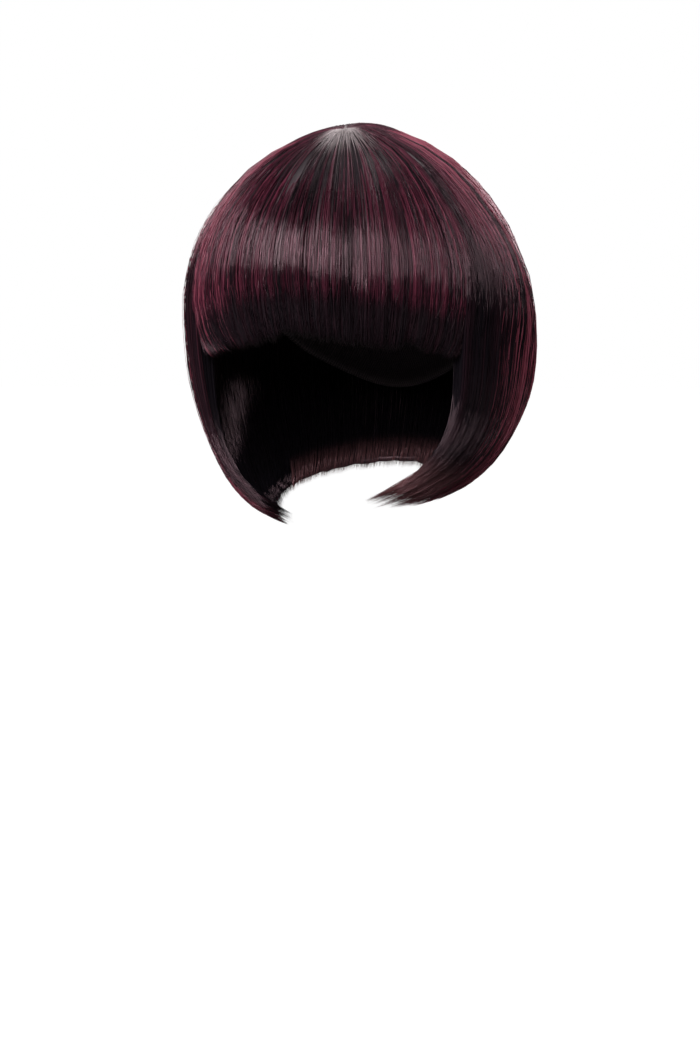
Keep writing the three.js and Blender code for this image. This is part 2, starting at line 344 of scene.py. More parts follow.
class Section:
    """One section of hair between two azimuths, with its locks, tips and look.

    The notch is the path by which it is shorter between locks, and ragged the millimetres that its tips
    vary. The body under the strands ends at shell_end past the belly. A dyed lock is dye_width degrees
    wide. Loose strands stand off by stray millimetres, and a section has more of them the further they
    stand. The free edge is 0 or 1, the share of the width at an open front edge.
    """

    def __init__(self, piece, node, start, end, tips, locks, thickness, notch, ragged, shell_end, dye_width,
                 stray, free_edge=None):
        self.piece = piece
        self.node = node
        self.start = start
        self.end = end
        self.tips = tips
        self.locks = locks
        self.thickness = thickness
        self.notch = notch
        self.ragged = ragged
        self.shell_end = shell_end
        self.dye_width = dye_width
        self.stray = stray
        self.free_edge = free_edge
        self.shell_span = {None: (0.0, 1.0), 0: (SHELL_INSET, 1.0), 1: (0.0, 1 - SHELL_INSET)}[free_edge]

    def azimuth(self, share):
        """Azimuth at a share of the section's width."""
        return self.start + (self.end - self.start) * share

    def lock_shape(self, share):
        """Relief and shortening of the lock at a share of the section's width.

        Lock j varies by (1 + sin(j golden + phase)) / 2. A lock is a ramp, a flat crest and a ramp, a third
        each.
        """
        j = np.arange(self.locks + 1)
        uneven = np.where(j % self.locks == 0, 0, LOCK_UNEVEN * np.sin(j * GOLDEN_ANGLE))
        edges = (j + uneven) / self.locks
        lock = np.clip(np.searchsorted(edges, share, side="right") - 1, 0, self.locks - 1)
        phase = np.clip((share - edges[lock]) / (edges[lock + 1] - edges[lock]), 0, 1)
        crest = np.clip(LOCK_PARTS * np.minimum(phase, 1 - phase), 0, 1)
        relief = LOCK_TROUGH + crest * ((1 + np.sin(lock * GOLDEN_ANGLE + RELIEF_PHASE)) / 2 + LOCK_CREST)
        short = 1 + crest * ((1 + np.sin(lock * GOLDEN_ANGLE + SHORT_PHASE)) / 4 - 1)
        return relief, short


SECTIONS = [
    Section("fringe_hair", "fringe", -FRINGE_EDGE, FRINGE_EDGE, FRINGE_TIPS, locks=12, thickness=11,
            notch=0.12, ragged=5, shell_end=0.8, dye_width=1.7, stray=1.5),
    Section("left_side_hair", "side_hair_left", FRINGE_EDGE, BACK_EDGE, SIDE_TIPS, locks=8, thickness=14,
            notch=0.05, ragged=8, shell_end=0.95, dye_width=3.2, stray=1, free_edge=0),
    Section("right_side_hair", "side_hair_right", -BACK_EDGE, -FRINGE_EDGE, SIDE_TIPS, locks=8,
            thickness=14, notch=0.05, ragged=8, shell_end=0.95, dye_width=3.2, stray=2.6, free_edge=1),
    Section("nape_hair", "back_hair", BACK_EDGE, 360 - BACK_EDGE, BACK_TIPS, locks=12, thickness=14,
            notch=0.05, ragged=4, shell_end=0.95, dye_width=2.6, stray=1.5),
]

# Strands: thickness, taper to the tip, sway, and how deep they lie
STRAND_SIDES = 3
STRAND_RADIUS = 0.25
STRAND_RADIUS_SPREAD = 0.24
STRAND_RADIUS_RANGE = (0.55, 1.6)
TIP_TAPER = 0.2
TIP_RADIUS = 0.25
TIP_POWER = 0.7
WANDER = 0.003
SWAY_TURNS = (0.5, 1.4)
SWAY_SPAN = (0.1, 0.8)
RAGGED_POWER = 1.5
RAGGED_LONG = 0.4
ROOT_DEPTH = 5.0
ROOT_RISE = 0.3
ROOT_SPAN = (0.02, 0.1)
STAND_SPAN = (0, 0.3)
SETTLE_SPAN = (0.95, 0.5)
FULL_ROOM = 6

# Clumps of strands that gather towards their tips
STRANDS_PER_CLUMP = 10
CLUMP_OFFSET = 0.3
CLUMP_PULL = 0.25
CLUMP_LIFT = 0.3
CLUMP_RAGGED = 2.0
CLUMP_TONE = 0.10
CLUMP_WAVE = 0.22
CLUMP_WAVES = 2.2
GATHER_SPAN = (0.4, 2.0)
WAVE_SPAN = (0.2, 0.6)

# Dyed locks and tones, from 0 for black-plum to 1 for bright wine, the brightest of them painted rim light
DYE_BLUR = 0.4
DYE_LOCK_LIFT = 0.6
DYE_LIFT_SPAN = (0.12, 0.42)
DYE_SINK_SPAN = (1.35, 0.7)
BLACK_TONES = (0.16, 0.40)
WINE_TONES = (0.46, 0.70)
STRAND_TONE = 0.17
TONE_LEAST = 0.04
TONE_TOP = 0.78
TONE_LIMIT = 0.99

# Outer layer of each section
OUTER_STRANDS = 1620
OUTER_POINTS = 18
OUTER_SPREAD = 1.012
OUTER_OVERLAP = 0.006
OUTER_ROOTS = 0.85
OUTER_LAYER = 2.2
OUTER_DEPTH_POWER = 1.6

# Lining on the inside, painted darker than the outer layer as shade within the hair, and the free front
# edges of the sides, darker as they lie deeper
LINING_STRANDS = 400
LINING_POINTS = 9
LINING_ROOTS = (0.55, 0.9)
LINING_LAYER = 2.0
LINING_FREE = 0.8
LINING_SHADE_MOST = 0.7
LINING_SHADE_SPAN = (0.05, 0.5)
EDGE_STRANDS = 110
EDGE_POINTS = 14
EDGE_WIDTH = 0.02
EDGE_ROOTS = (0.5, 0.9)

# Loose strands, and locks that lie raised on the form
LOOSE_STRANDS = 80
LOOSE_RADIUS = 0.13
LOOSE_WANDER = 0.012
LOOSE_ROOTS = (0.1, 0.8)
LOOSE_POWER = 1.3
RAISED_LOCKS = 4
RAISED_STRANDS = 45
RAISED_WIDTH = 0.014
RAISED_HALF = 0.03
RAISED_ROOTS = (0.3, 0.5)
RAISED_LIFT = 1.8

# Travel of the colour along a strand
TRAVEL_RATE = 0.42
TRAVEL_SPAN = (0.4, 0.9)
# Shifts of travel that set where the painted shade of the ends begins; the wearer's right stops short of
# the tips' painted sheen and keeps its painted shade
SIDES_AHEAD = 0.16
FRINGE_BEHIND = 0.08
BEHIND_SPAN = (-15, -40)
RIGHT_SHADE_TRAVEL = 0.86
# Shift that keeps the pale roots and their painted highlight to the front of the whorl, with its azimuth
# and spread
ROOT_SHEEN_SHIFT = 0.12
ROOT_SHEEN_AZIMUTH = 12
ROOT_SHEEN_SPREAD = (8, 58)

# Dark body under the strands, in the darkest tone as painted shade deep in the hair
SHELL_SUNK = 2.0
SHELL_SUNK_SHARE = 0.4
SHELL_INNER_SHARE = 0.6
SHELL_ROWS = 34
SHELL_COLUMNS = 48
SHELL_SHADE_TONE = 0.0
SHELL_TRAVEL = 0.1
SHELL_TRAVEL_RATE = 0.4


def even_shares(rng, count):
    """One random share in each of count equal bins, in random order."""
    return rng.permutation((np.arange(count) + rng.random(count)) / count)


def dye_locks(section, rng, share):
    """Tone, lift and brightest tone of each strand's dyed lock: black or wine, by the dye's share, with
    painted rim light and painted shade where the table brightens or darkens them.
    """
    cells = int((section.end - section.start) / section.dye_width)
    blurred = share + rng.normal(0, DYE_BLUR / cells, len(share))
    cell = np.clip((blurred * cells).astype(int), 0, cells - 1)
    local = read_table(DYES_AND_PAINTED_LIGHT, wrapped(section.azimuth((np.arange(cells) + 0.5) / cells)))
    black = rng.random(cells) < local["black"]
    black_tone = rng.uniform(*BLACK_TONES, cells)
    wine_tone = rng.uniform(*WINE_TONES, cells) + local["bright"]
    lift = rng.normal(0, DYE_LOCK_LIFT, cells)
    most = np.minimum(TONE_TOP + local["bright"], TONE_LIMIT)
    return np.where(black, black_tone, wine_tone)[cell], lift[cell], most[cell]


def strand_lines(section, rng, points, share, root, sunk, depth, radius=STRAND_RADIUS, wander=WANDER):
    """Centre lines of strands of a section, with their radii, tones and travel, as whole arrays.

    A strand keeps its share of the section's width, apart from a pull to the middle of its clump and a slow
    sway. It lies under the form by a sunk part of the hair's thickness and a depth, deeper at its root.
    With a negative depth it stands out instead, most between its root and its tip.
    """
    n = len(share)
    clumps = max(n // STRANDS_PER_CLUMP, 1)
    clump = np.clip((share * clumps).astype(int), 0, clumps - 1)
    middle = (clump + 0.5 + rng.uniform(-CLUMP_OFFSET, CLUMP_OFFSET, clumps)[clump]) / clumps
    clump_short = rng.random(clumps)[clump] ** 2 * CLUMP_RAGGED
    clump_lift = rng.normal(0, CLUMP_LIFT, clumps)[clump]
    clump_tone = rng.normal(0, CLUMP_TONE, clumps)[clump]
    clump_turn = rng.uniform(0, 2 * np.pi, clumps)[clump]
    dye, dye_lift, most = dye_locks(section, rng, share)

    relief, short = section.lock_shape(np.clip(middle, 0, 1))
    ends = form(section.azimuth(share)[:, None], np.array([1.0, 2.0]), section.tips)
    fall = np.linalg.norm(ends[:, 1] - ends[:, 0], axis=-1)
    ragged = clump_short + (rng.random(n) ** RAGGED_POWER - RAGGED_LONG) * section.ragged
    if section.tips is FRINGE_TIPS:
        ragged = ragged - read_table(FRINGE_HEM, section.azimuth(share))["longer"]
    tip = 2 - section.notch * short * RELIEF_SHOWN - ragged / fall

    t = np.linspace(0, 1, points)
    path = root[:, None] + (tip - root)[:, None] * t
    gather = CLUMP_PULL * (1 - LINING_FREE * sunk[:, None]) * smoothstep(path, *GATHER_SPAN)
    swing = rng.uniform(0, 2 * np.pi, (n, 1)) + 2 * np.pi * rng.uniform(*SWAY_TURNS, (n, 1)) * t
    sway = wander * np.sin(swing) * smoothstep(path, *SWAY_SPAN)
    line = share[:, None] + (middle - share)[:, None] * gather + sway
    point = form(section.azimuth(line), path, section.tips)
    out = outward(point)
    room = thickness_at(point, out, path, section.thickness)

    rise = ROOT_DEPTH * (1 - smoothstep(t, 0, ROOT_RISE))
    rise = rise * (smoothstep(root, *ROOT_SPAN) * (1 - sunk))[:, None]
    lift = (LOCK_RELIEF * RELIEF_SHOWN * relief + clump_lift)[:, None] * smoothstep(path, 0, LOCK_FADE)
    lift = lift + dye_lift[:, None] * smoothstep(path, *DYE_LIFT_SPAN) * smoothstep(path, *DYE_SINK_SPAN)
    wave = np.sin(clump_turn[:, None] + 2 * np.pi * CLUMP_WAVES * path)
    lift = lift + CLUMP_WAVE * wave * smoothstep(path, *WAVE_SPAN) + fullness(section.azimuth(line), path)
    stand = smoothstep(t, *STAND_SPAN) * smoothstep(t, *SETTLE_SPAN)
    depth = depth[:, None] * np.where(depth[:, None] < 0, stand, 1)
    under = sunk[:, None] * (room - INNER_GAP) + (depth + rise) * np.clip(room / FULL_ROOM, 0, 1)
    point = point + out * (lift * (1 - sunk[:, None]) - under)[..., None]

    radius = radius * rng.normal(1, STRAND_RADIUS_SPREAD, n).clip(*STRAND_RADIUS_RANGE)
    radius = radius[:, None] * np.clip((1 - t) / TIP_TAPER, TIP_RADIUS, 1) ** TIP_POWER
    tone = (dye + clump_tone + rng.normal(0, STRAND_TONE, n)).clip(TONE_LEAST, most)
    # Painted shade: strands that lie sunk inside the hair are darkened
    tone = tone * (1 - LINING_SHADE_MOST * smoothstep(sunk, *LINING_SHADE_SPAN))
    return point, out, radius, tone, travel_at(section, path, section.azimuth(share)[:, None])


def section_strands(section, rng):
    """Tubes of a section: the outer layer, the lining on its inside and, on a side, its free front edge.

    The outer layer's roots are spread by an arc sine, so that each width of the form has as many strands.
    """
    n = OUTER_STRANDS
    share = even_shares(rng, n) * OUTER_SPREAD - OUTER_OVERLAP
    root = np.arcsin(rng.random(n)) * 2 / np.pi * OUTER_ROOTS
    depth = rng.random(n) ** OUTER_DEPTH_POWER * OUTER_LAYER
    layers = [tubes(*strand_lines(section, rng, OUTER_POINTS, share, root, np.zeros(n), depth))]
    n = LINING_STRANDS
    share = even_shares(rng, n)
    root = rng.uniform(*LINING_ROOTS, n)
    depth = -rng.random(n) * LINING_LAYER
    layers.append(tubes(*strand_lines(section, rng, LINING_POINTS, share, root, np.ones(n), depth)))
    if section.free_edge is not None:
        n = EDGE_STRANDS
        share = np.abs(section.free_edge - rng.random(n) * EDGE_WIDTH)
        root = rng.uniform(*EDGE_ROOTS, n)
        sunk = even_shares(rng, n)
        layers.append(tubes(*strand_lines(section, rng, EDGE_POINTS, share, root, sunk, np.zeros(n))))
    return layers


def loose_strands(section, rng):
    """Tubes of stray strands that stand off the form, and of a few locks that lie raised on it."""
    n = int(LOOSE_STRANDS * section.stray)
    share = rng.random(n)
    root = rng.uniform(*LOOSE_ROOTS, n)
    depth = -rng.random(n) ** LOOSE_POWER * section.stray
    stray = strand_lines(section, rng, OUTER_POINTS, share, root, np.zeros(n), depth,
                         LOOSE_RADIUS, LOOSE_WANDER)
    lock = np.repeat(even_shares(rng, RAISED_LOCKS), RAISED_STRANDS)
    n = len(lock)
    share = lock + rng.normal(0, RAISED_WIDTH, n).clip(-RAISED_HALF, RAISED_HALF)
    root = rng.uniform(*RAISED_ROOTS, n)
    depth = -rng.random(n) * RAISED_LIFT
    raised = strand_lines(section, rng, OUTER_POINTS, share, root, np.zeros(n), depth)
    return [tubes(*stray), tubes(*raised)]


def root_sheen_shift(azimuth):
    """How far past the pale roots and their painted highlight a strand's colour starts: nothing in front of
    the whorl, where the highlight is painted, more round it.
    """
    return ROOT_SHEEN_SHIFT * smoothstep(np.abs(wrapped(azimuth - ROOT_SHEEN_AZIMUTH)), *ROOT_SHEEN_SPREAD)


def travel_at(section, path, azimuth):
    """Travel along a strand for its colour: a rate times the path, shifted past the pale roots and their
    painted highlight away from the whorl's front, from 0 to at most 1.

    The sides and the back run ahead of the fringe, so the painted shade of their ends comes sooner and only
    they reach the painted sheen of their pale tips, which the wearer's right does without and keeps its
    painted shade. The fringe's right end stays behind, so its painted shade comes later.
    """
    shift = smoothstep(path, *TRAVEL_SPAN)
    if section.tips is FRINGE_TIPS:
        shift = -FRINGE_BEHIND * shift * smoothstep(azimuth, *BEHIND_SPAN)
    else:
        shift = SIDES_AHEAD * shift
    most = RIGHT_SHADE_TRAVEL if section.free_edge == 1 else 1.0
    return np.clip(TRAVEL_RATE * path + root_sheen_shift(azimuth) * (1 - path / 2) + shift, 0, most)


def tubes(point, out, radius, tone, travel):
    """Closed three-sided tubes along many centre lines at once.

    The ring at a point is c + r (cos k u + sin k w), with u the outward direction square to the tangent and
    w = T x u. The last point of a line is the tube's tip. Returns vertices, triangles and (tone, travel).
    """
    count, points = radius.shape
    tangent = np.gradient(point, axis=1)
    tangent /= np.linalg.norm(tangent, axis=-1, keepdims=True)
    u = out - (out * tangent).sum(-1, keepdims=True) * tangent
    u /= np.linalg.norm(u, axis=-1, keepdims=True)
    w = np.cross(tangent, u)
    angle = 2 * np.pi * np.arange(STRAND_SIDES) / STRAND_SIDES
    spoke = np.cos(angle)[:, None] * u[:, :, None] + np.sin(angle)[:, None] * w[:, :, None]
    ring = point[:, :, None] + radius[:, :, None, None] * spoke
    vertices = np.concatenate([ring[:, :-1].reshape(count, -1, 3), point[:, -1:]], 1)
    travel = np.concatenate([np.repeat(travel[:, :-1], STRAND_SIDES, axis=1), travel[:, -1:]], 1)
    uv = np.stack(np.broadcast_arrays(tone[:, None], travel), -1)

    k = np.arange(STRAND_SIDES)
    nxt = (k + 1) % STRAND_SIDES
    start = STRAND_SIDES * np.arange(points - 2)[:, None]
    a, b = start + k, start + nxt
    c, d = a + STRAND_SIDES, b + STRAND_SIDES
    last = STRAND_SIDES * (points - 2)
    tip = np.full(STRAND_SIDES, last + STRAND_SIDES)
    one = np.concatenate([
        np.stack([a, b, d], -1).reshape(-1, 3),
        np.stack([a, d, c], -1).reshape(-1, 3),
        np.stack([last + k, last + nxt, tip], -1),
        [[0, 2, 1]],
    ])
    faces = (one + vertices.shape[1] * np.arange(count)[:, None, None]).reshape(-1, 3)
    return vertices.reshape(-1, 3), faces, uv.reshape(-1, 2)


def grid_wall(outer, inner):
    """Closed wall between two grids of points with the same rows and columns, as vertices and triangles."""
    rows, cols = outer.shape[:2]
    o = np.arange(rows * cols).reshape(rows, cols)
    i = o + rows * cols

    def quads(a, b, c, d):
        """Each four-cornered cell as two triangles."""
        first = np.stack([a, b, c], -1).reshape(-1, 3)
        second = np.stack([a, c, d], -1).reshape(-1, 3)
        return np.concatenate([first, second])

    faces = np.concatenate([
        quads(o[:-1, :-1], o[1:, :-1], o[1:, 1:], o[:-1, 1:]),
        quads(i[:-1, :-1], i[:-1, 1:], i[1:, 1:], i[1:, :-1]),
        quads(o[1:, 0], o[:-1, 0], i[:-1, 0], i[1:, 0]),
        quads(o[:-1, -1], o[1:, -1], i[1:, -1], i[:-1, -1]),
        quads(o[0, :-1], o[0, 1:], i[0, 1:], i[0, :-1]),
        quads(o[-1, 1:], o[-1, :-1], i[-1, :-1], i[-1, 1:]),
    ])
    return np.concatenate([outer.reshape(-1, 3), inner.reshape(-1, 3)]), faces


def shell(section):
    """Dark body of hair under the strands, in the darkest tone as painted shade deep in the hair: the form
    with its locks, sunk a little on both sides.
    """
    share = np.linspace(*section.shell_span, SHELL_COLUMNS)
    relief, short = section.lock_shape(share)
    down = np.linspace(0, 1, SHELL_ROWS)[:, None]
    path = down * (1 + section.shell_end - section.notch * short * RELIEF_SHOWN)
    point = form(section.azimuth(share) + 0 * path, path, section.tips)
    out = outward(point)
    room = thickness_at(point, out, path, section.thickness)
    lift = LOCK_RELIEF * RELIEF_SHOWN * relief * smoothstep(path, 0, LOCK_FADE)
    lift = lift + fullness(section.azimuth(share), path) - np.minimum(SHELL_SUNK, room * SHELL_SUNK_SHARE)
    depth = np.maximum(room - SHELL_SUNK - INNER_GAP, room * SHELL_INNER_SHARE)
    vertices, faces = grid_wall(point + out * lift[..., None], point - out * depth[..., None])
    travel = SHELL_TRAVEL_RATE * path + SHELL_TRAVEL
    # The body takes the darkest tone, as painted shade
    uv = np.stack([np.full_like(path, SHELL_SHADE_TONE), travel], -1).reshape(-1, 2)
    return vertices, faces, np.concatenate([uv, uv])


def joined(*parts):
    """Several sets of vertices, triangles and map coordinates as one."""
    offset = np.cumsum([0] + [len(v) for v, _, _ in parts])
    vertices = np.concatenate([v for v, _, _ in parts])
    faces = np.concatenate([f + o for (_, f, _), o in zip(parts, offset)])
    return vertices, faces, np.concatenate([uv for _, _, uv in parts])


def mesh_piece(name, vertices, faces, uv, maps, material):
    """Object at the origin from vertices in millimetres, triangles and a pair of map values a vertex."""
    mesh = bpy.data.meshes.new(name)
    mesh.vertices.add(len(vertices))
    mesh.vertices.foreach_set("co", (vertices * MM).astype(np.float32).ravel())
    mesh.loops.add(faces.size)
    mesh.loops.foreach_set("vertex_index", faces.astype(np.int32).ravel())
    mesh.polygons.add(len(faces))
    mesh.polygons.foreach_set("loop_start", np.arange(0, faces.size, 3, dtype=np.int32))
    mesh.polygons.foreach_set("use_smooth", np.ones(len(faces), bool))
    mesh.update(calc_edges=True)
    mesh.validate()
    for label in maps:
        layer = mesh.uv_layers.new(name=label)
        layer.data.foreach_set("uv", uv[faces.ravel()].astype(np.float32).ravel())
    mesh.uv_layers[0].active_render = True
    mesh.materials.append(material)
    piece = bpy.data.objects.new(name, mesh)
    bpy.context.scene.collection.objects.link(piece)
    return piece


class Socket:
    """A shader socket that takes part in arithmetic: an expression on sockets adds its Math nodes."""

    def __init__(self, tree, link):
        self.tree = tree
        self.link = link

    def node(self, kind, settings=None, output=0, **inputs):
        """New node of a kind: its settings come first, then its sockets, by name or by number as in _0."""
        made = self.tree.nodes.new(kind)
        for key, value in (settings or {}).items():
            if key == "stops":
                set_stops(made.color_ramp, value)
            else:
                setattr(made, key, value)
        for key, value in inputs.items():
            name = int(key[1:]) if key.startswith("_") else key.replace("_", " ")
            if isinstance(value, Socket):
                self.tree.links.new(value.link, made.inputs[name])
            else:
                made.inputs[name].default_value = value
        return Socket(self.tree, made.outputs[output])

    def math(self, operation, a, b):
        """Math node on two values."""
        return self.node("ShaderNodeMath", {"operation": operation}, _0=a, _1=b)

    def ranged(self, span, low, high, curve="SMOOTHSTEP"):
        """Value that goes from low to high across a span of this one."""
        return self.node("ShaderNodeMapRange", {"interpolation_type": curve}, Value=self,
                         From_Min=span[0], From_Max=span[1], To_Min=low, To_Max=high)

    def mixed(self, factor, colour, blend="MIX"):
        """This colour mixed with another by a factor."""
        return self.node("ShaderNodeMix", {"data_type": "RGBA", "blend_type": blend}, output=2,
                         _0=factor, _6=self, _7=colour)

    def __add__(self, other):
        return self.math("ADD", self, other)

    def __radd__(self, other):
        return self.math("ADD", other, self)

    def __sub__(self, other):
        return self.math("SUBTRACT", self, other)

    def __rsub__(self, other):
        return self.math("SUBTRACT", other, self)

    def __mul__(self, other):
        return self.math("MULTIPLY", self, other)

    def __rmul__(self, other):
        return self.math("MULTIPLY", other, self)


def set_stops(ramp, stops):
    """Colour ramp from (position, colour) pairs."""
    while len(ramp.elements) < len(stops):
        ramp.elements.new(1.0)
    for element, (position, colour) in zip(ramp.elements, stops):
        element.position = position
        element.color = (*colour, 1.0)


def new_material(name):
    """Material with an empty Principled shader, and a socket to start its expressions from."""
    material = bpy.data.materials.new(name)
    material.use_nodes = True
    tree = material.node_tree
    shader = tree.nodes["Principled BSDF"]
    return material, shader, Socket(tree, None)


def feed(shader, name, socket):
    """Link a socket to one of a shader's inputs."""
    socket.tree.links.new(socket.link, shader.inputs[name])


# Hair colours as linear values: dyed tones from black-plum to bright wine, then the painted shade of the
# ends, the painted sheen of the tips, the pale roots with their painted highlight, and gloss
HAIR_TONES = [
    (0.0, (0.002, 0.002, 0.003)),
    (0.25, (0.004, 0.003, 0.004)),
    (0.5, (0.018, 0.004, 0.008)),
    (0.75, (0.060, 0.010, 0.021)),
    (1.0, (0.170, 0.038, 0.058)),
]
# Painted shade: below the belly the lower hair darkens to this near black, as if in shade
END_SHADE_COLOUR = (0.0042, 0.0034, 0.0048, 1.0)
# Painted sheen: the tips turn this paler wine-brown as if catching light
TIP_SHEEN_COLOUR = (0.210, 0.090, 0.097, 1.0)
# Pale grey roots, partly a painted highlight on the crown in front of the whorl
ROOT_AND_SHEEN_COLOUR = (0.30, 0.263, 0.265, 1.0)
GLOSS_TINT = (0.95, 0.62, 0.70, 1.0)
HAIR_IOR = 1.52

# Where the hair's look changes, as spans of travel and, for the last two, of tone
ROOT_SHEEN_FADE = (0.03, 0.135)
ROOT_SHEEN_MOST = 0.95
CROWN_SPAN = (0.14, 0.28)
END_SHADE_SPAN = (0.42, 0.60)
END_SHADE_MOST = 0.9
TIP_SHEEN_SPAN = (0.89, 0.99)
TIP_SHEEN_MOST = 0.8
WINE_SPAN = (0.86, 0.96)
BODY_SPAN = (0.0, 0.01)

# Streaks of brighter and darker hair, and roughness
STREAKS_ACROSS = 61.0
STREAKS_ALONG = 9.0
SHADE_LEAST = 0.6
SHADE_GRAIN = 0.8
SMOOTHEST = 0.12
GRAIN_ROUGH = 0.21
BODY_ROUGH = 0.2
CROWN_ROUGH = 0.2
END_SMOOTH = 0.11


def hair_material():
    """Glossy hair in tones from black-plum to wine, streaked along the strands.

    Roots are pale and grey, partly a painted highlight on the crown. Below the belly all but the bright
    wine strands turn dark as painted shade, and then wine-brown at their tips as painted sheen. The gloss
    is softer on the crown and on the body under the strands, and sharper on the ends.
    """
    material, shader, start = new_material("burgundy hair")
    place = start.node("ShaderNodeUVMap", {"uv_map": "strand"})
    tone = start.node("ShaderNodeSeparateXYZ", Vector=place)
    travel = start.node("ShaderNodeSeparateXYZ", output=1, Vector=place)
    streaks = start.node("ShaderNodeCombineXYZ", X=tone * STREAKS_ACROSS, Y=travel * STREAKS_ALONG)
    grain = start.node("ShaderNodeTexNoise", {"noise_dimensions": "2D"}, Vector=streaks, Scale=1.0,
                       Detail=2.0)
    # Painted shade on the lower hair, below the belly
    ends = travel.ranged(END_SHADE_SPAN, 0.0, END_SHADE_MOST)
    # Painted sheen at the tips
    tip_sheen = travel.ranged(TIP_SHEEN_SPAN, 0.0, TIP_SHEEN_MOST)
    # Pale roots, partly a painted highlight
    pale_root_sheen = travel.ranged(ROOT_SHEEN_FADE, ROOT_SHEEN_MOST, 0.0)
    plain = tone.ranged(WINE_SPAN, 1.0, 0.0, "LINEAR")
    level = SHADE_LEAST + grain * SHADE_GRAIN
    shade = start.node("ShaderNodeCombineColor", Red=level, Green=level, Blue=level)
    dye = start.node("ShaderNodeValToRGB", {"stops": HAIR_TONES}, Fac=tone)
    dyed = dye.mixed(1.0, shade, "MULTIPLY")
    tipped = dyed.mixed(ends * plain, END_SHADE_COLOUR).mixed(tip_sheen * plain, TIP_SHEEN_COLOUR)
    feed(shader, "Base Color", tipped.mixed(pale_root_sheen, ROOT_AND_SHEEN_COLOUR))
    body = tone.ranged(BODY_SPAN, 1.0, 0.0, "LINEAR")
    soft = travel.ranged(CROWN_SPAN, CROWN_ROUGH, 0.0)
    rough = SMOOTHEST + grain * GRAIN_ROUGH + body * BODY_ROUGH + soft - ends * END_SMOOTH
    feed(shader, "Roughness", rough)
    shader.inputs["IOR"].default_value = HAIR_IOR
    shader.inputs["Specular Tint"].default_value = GLOSS_TINT
    return material


# Seeds of the random draws, and the strands' two maps, which hold the same tone and travel
SECTION_SEED = 41
LOOSE_SEED = 40
WHORL_SEED = 7
STRAND_MAPS = ("strand", "OFBake")


def make_hair(material):
    """The four sections of hair, each a dark body and its strands in one piece, and the loose strands."""
    for number, section in enumerate(SECTIONS):
        rng = np.random.default_rng(SECTION_SEED + number)
        parts = joined(shell(section), *section_strands(section, rng))
        piece = mesh_piece(section.piece, *parts, STRAND_MAPS, material)
        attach(piece, "root")
        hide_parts(section.node)
    rng = np.random.default_rng(LOOSE_SEED)
    parts = joined(*(layer for section in SECTIONS for layer in loose_strands(section, rng)))
    piece = mesh_piece("loose_strands", *parts, STRAND_MAPS, material)
    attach(piece, "root")


# Crown whorl: its disc, then the strands that start in it
DISC_RINGS = 10
DISC_COLUMNS = 72
DISC_GAP = 0.3
DISC_TONE_TRAVEL = (0.2, 0.06)
CROWN_STRANDS = 520
CROWN_POINTS = 12
CROWN_REACH = 46.0
CROWN_REACHES = (0.35, 1.0)
CROWN_LEAST = 8
CROWN_SWAY = 2.5
CROWN_LIFT = 0.6
CROWN_LIFTS = (0.2, 1.2)
CROWN_SINK = 1.5
CROWN_STRAND_RADIUS = 0.2
CROWN_RADII = (0.7, 1.3)
CROWN_TAPER = 0.3
CROWN_TONES = (0.3, 0.8)
ROOT_SHEEN_CORE = 0.6
CROWN_RADIUS = 110


def ring_solid(top, rings, below):
    """Closed solid through rings of points from a top pole to a lower one, as vertices and triangles."""
    count, around_count = rings.shape[:2]
    c = np.arange(around_count)
    nxt = (c + 1) % around_count
    start = 1 + around_count * np.arange(count)[:, None]
    a, b = start[:-1] + c, start[1:] + c
    d, e = start[1:] + nxt, start[:-1] + nxt
    last = start[-1, 0]
    pole = np.full(around_count, 1 + count * around_count)
    faces = np.concatenate([
        np.stack([0 * c, 1 + c, 1 + nxt], -1),
        np.stack([a, b, d], -1).reshape(-1, 3),
        np.stack([a, d, e], -1).reshape(-1, 3),
        np.stack([pole, last + nxt, last + c], -1),
    ])
    return np.concatenate([[top], rings.reshape(-1, 3), [below]]), faces


def whorl_surface(radius, angle):
    """Point of the crown round the whorl: a polar grid on the dome, dipping in its middle."""
    plan = around(angle, radius, 0.0)[..., :2] + WHORL
    dip = WHORL_DIP * np.maximum(1 - radius / WHORL_RADIUS, 0)
    height = dome_height(plan[..., 0], plan[..., 1]) - dip
    return np.concatenate([plan, np.broadcast_to(height, plan.shape[:-1])[..., None]], -1)


def down_to_cap(point):
    """Points moved in along their thickness to just above the cap."""
    out = outward(point)
    return point - out * room_over_cap(point, out)[..., None]


